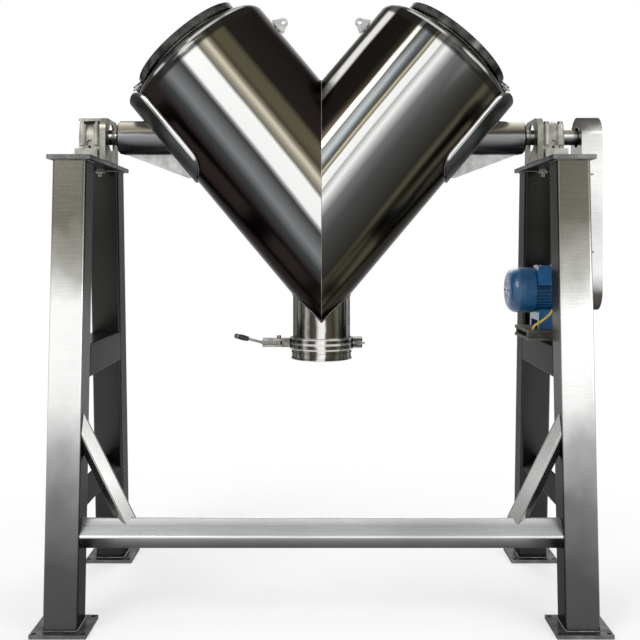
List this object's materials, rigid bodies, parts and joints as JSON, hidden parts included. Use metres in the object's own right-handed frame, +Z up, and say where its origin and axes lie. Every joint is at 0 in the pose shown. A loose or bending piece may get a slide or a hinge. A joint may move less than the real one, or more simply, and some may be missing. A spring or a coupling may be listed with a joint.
{
  "type": "v-blender",
  "caption": "Twin-shell V-shaped tumble blender: polished mitred drums on a trunnion shaft, carried by leaning tube frames, with a side motor and belt guard.",
  "frame": {"origin": "on the floor, under the middle of the vessel's shaft, centre of the floor anchor holes", "axes": "+Z up; +X along the shaft towards the drive guard; -Y is the front, where the stretcher is"},
  "size_m": [1.764, 0.7924, 1.9403],
  "materials": {
    "drum_steel": "mirror-polished stainless steel",
    "fitting_steel": "satin stainless steel",
    "frame_steel": "brushed stainless tube with a fine cross grain",
    "plate_steel": "ground steel plate",
    "guard_steel": "folded stainless sheet",
    "bearing_cast": "cast housing under pale paint",
    "shaft_steel": "turned steel",
    "bolt_steel": "plain steel fastener",
    "pulley_iron": "machined cast iron",
    "motor_blue": "semi-gloss blue paint on cast metal",
    "gasket_rubber": "white silicone rubber",
    "belt_rubber": "black belt rubber",
    "fan_plastic": "black moulded plastic",
    "cable_rubber": "yellow flexible cable jacket"
  },
  "bodies": {
    "stand": {"guard_brackets": "fitting_steel", "bearing_bolts": "bolt_steel", "cap_bolts": "bolt_steel", "guard_screws": "bolt_steel", "bearing_outer_rings": "shaft_steel", "left_front_post": "frame_steel", "left_rear_post": "frame_steel", "right_front_post": "frame_steel", "right_rear_post": "frame_steel", "upper_side_rails": "frame_steel", "lower_side_rails": "frame_steel", "stretcher": "frame_steel", "stretcher_braces": "frame_steel", "top_plates": "plate_steel", "foot_plates": "plate_steel", "motor_bracket": "plate_steel", "left_shaft_shield": "guard_steel", "right_shaft_shield": "guard_steel", "guard_back": "guard_steel", "guard_cover": "guard_steel", "bearing_bases": "bearing_cast", "bearing_caps": "bearing_cast", "drive_belts": "belt_rubber", "gearbox": "motor_blue", "motor_body": "motor_blue", "motor_fan_cowl": "motor_blue", "terminal_box": "motor_blue", "motor_cable": "cable_rubber"},
    "vessel": {"left_leg_shell": "drum_steel", "right_leg_shell": "drum_steel", "outlet_tube": "drum_steel", "left_cover": "drum_steel", "right_cover": "drum_steel", "outlet_cap": "drum_steel", "left_cover_band": "fitting_steel", "right_cover_band": "fitting_steel", "outlet_band": "fitting_steel", "lifting_lugs": "fitting_steel", "left_saddle_pad": "fitting_steel", "right_saddle_pad": "fitting_steel", "trunnion_sleeves": "fitting_steel", "trunnion_gussets": "fitting_steel", "clamp_block": "fitting_steel", "left_cover_gasket": "gasket_rubber", "right_cover_gasket": "gasket_rubber", "outlet_gasket": "gasket_rubber", "band_screws": "bolt_steel", "left_stub_shaft": "shaft_steel", "right_drive_shaft": "shaft_steel", "bearing_rollers": "shaft_steel", "bearing_inner_rings": "shaft_steel", "shaft_pulley": "pulley_iron"},
    "lever": {"clamp_lever": "bolt_steel"},
    "left_wing": {"left_cover_wing_nut": "bolt_steel"},
    "right_wing": {"right_cover_wing_nut": "bolt_steel"},
    "outlet_wing": {"outlet_wing_nut": "bolt_steel"},
    "gear_output": {"gearbox_shaft": "shaft_steel", "motor_pulley": "pulley_iron"},
    "fan": {"motor_fan": "fan_plastic"}
  },
  "joints": [
    {"name": "vessel_turn", "type": "hinge", "parent": "stand", "child": "vessel", "pos_m": [0, 0, 1.5], "axis": [1, 0, 0], "continuous": true},
    {"name": "gear_output_turn", "type": "hinge", "parent": "stand", "child": "gear_output", "pos_m": [0.85, 0, 0.994], "axis": [1, 0, 0], "continuous": true},
    {"name": "fan_turn", "type": "hinge", "parent": "stand", "child": "fan", "pos_m": [0.68, 0, 0.994], "axis": [1, 0, 0], "continuous": true},
    {"name": "clamp_lever_swing", "type": "hinge", "parent": "vessel", "child": "lever", "pos_m": [-0.1413, 0, 0.8195], "axis": [0, 0, 1], "range_deg": [0, 100]},
    {"name": "left_wing_turn", "type": "hinge", "parent": "vessel", "child": "left_wing", "pos_m": [-0.60864, -0.0143, 1.66374], "axis": [0, -1, 0], "continuous": true},
    {"name": "right_wing_turn", "type": "hinge", "parent": "vessel", "child": "right_wing", "pos_m": [0.60864, -0.0143, 1.66374], "axis": [0, -1, 0], "continuous": true},
    {"name": "outlet_wing_turn", "type": "hinge", "parent": "vessel", "child": "outlet_wing", "pos_m": [0.1253, -0.0143, 0.8195], "axis": [0, -1, 0], "continuous": true}
  ],
  "couplings": [
    {"joint": "gear_output_turn", "follows": "vessel_turn", "ratio": 1},
    {"joint": "fan_turn", "follows": "vessel_turn", "ratio": 50}
  ]
}
